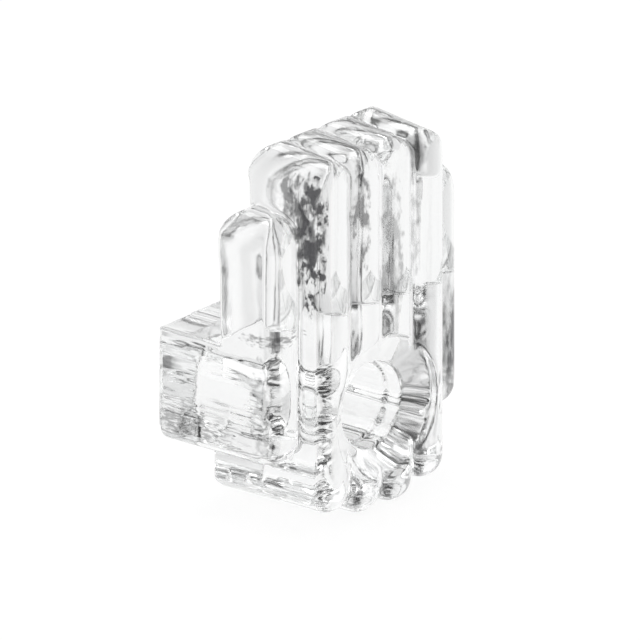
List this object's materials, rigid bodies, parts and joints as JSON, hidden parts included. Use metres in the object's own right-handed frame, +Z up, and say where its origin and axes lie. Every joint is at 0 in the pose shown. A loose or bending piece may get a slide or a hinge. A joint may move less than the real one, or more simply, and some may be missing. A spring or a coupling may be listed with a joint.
{
  "type": "mirror clip",
  "caption": "Clear moulded mirror clip with a fluted, stepped front, a countersunk screw hole and a slot for the mirror's edge.",
  "frame": {"origin": "where the screw hole's axis meets the wall, in the middle of the clip's width", "axes": "+Z up towards the mirror, +Y into the wall, +X to the right seen from the front, so the fluted front faces -Y"},
  "size_m": [0.019, 0.0117, 0.0256],
  "materials": {
    "clear_plastic": "clear, glossy"
  },
  "bodies": {
    "root": {"clip": "clear_plastic"}
  },
  "joints": []
}
